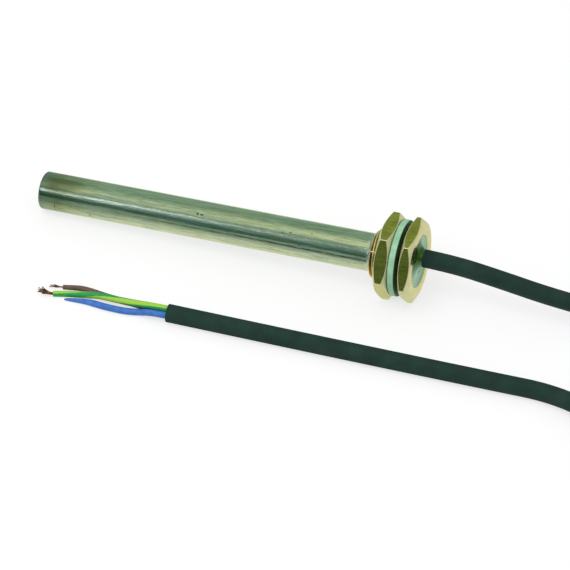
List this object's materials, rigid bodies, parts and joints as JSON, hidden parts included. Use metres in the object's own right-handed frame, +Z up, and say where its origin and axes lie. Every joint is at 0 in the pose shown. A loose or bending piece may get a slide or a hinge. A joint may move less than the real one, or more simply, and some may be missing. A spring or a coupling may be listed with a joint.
{
  "type": "cartridge heater",
  "caption": "Round cartridge heater with a screw-in brass fitting, lock nut and gasket, and a rubber lead with stripped cores.",
  "frame": {"origin": "on the heater's axis, in the seating face of the hex flange", "axes": "+X along the heater from its closed tip to its lead, apart from the tilt at which it lies; +Z up from the table"},
  "size_m": [0.3621, 0.1038, 0.0334],
  "materials": {
    "stainless": "satin",
    "brass": "satin",
    "gasket": "matte",
    "solder": "satin",
    "potting": "gloss",
    "ceramic": "matte",
    "magnesia": "matte",
    "heating_wire": "satin",
    "nickel": "satin",
    "glass_sleeving": "matte",
    "lead_rubber": "satin",
    "brown_insulation": "satin",
    "green_yellow_insulation": "satin",
    "blue_insulation": "satin",
    "copper": "satin"
  },
  "bodies": {
    "heater": {"sheath_tube": "stainless", "end_disc": "stainless", "threaded_bush": "brass", "solder_ring": "solder", "potting_plug": "potting", "tip_spacer": "ceramic", "ceramic_core": "ceramic", "lead_end_bush": "ceramic", "magnesia_fill": "magnesia", "resistance_winding": "heating_wire", "terminal_pin_1": "nickel", "terminal_pin_2": "nickel", "splice_ferrule_1": "nickel", "splice_ferrule_2": "nickel", "splice_sleeve_1": "glass_sleeving", "splice_sleeve_2": "glass_sleeving", "earth_ferrule": "nickel", "inner_lead_brown": "brown_insulation", "inner_lead_blue": "blue_insulation", "inner_lead_green_yellow": "green_yellow_insulation", "cable_lead": "lead_rubber", "cable_coil": "lead_rubber", "cable_tail": "lead_rubber", "core_brown": "brown_insulation", "core_green_yellow": "green_yellow_insulation", "core_blue": "blue_insulation", "strands_brown": "copper", "strands_green_yellow": "copper", "strands_blue": "copper"},
    "gasket": {"gasket": "gasket"},
    "lock_nut": {"lock_nut": "brass"}
  },
  "joints": [
    {"name": "gasket_slide", "type": "slide", "parent": "heater", "child": "gasket", "axis": [0.9986, 0, 0.0538], "range_m": [-0.0075, 0.00169]},
    {"name": "nut_spin", "type": "hinge", "parent": "gasket", "child": "lock_nut", "pos_m": [0, 0, 0], "axis": [0.9986, 0, 0.0538], "range_deg": [-1488.41, 335.38]}
  ],
  "couplings": [
    {"joint": "gasket_slide", "follows": "nut_spin", "m_per_rad": 0.00028871}
  ]
}
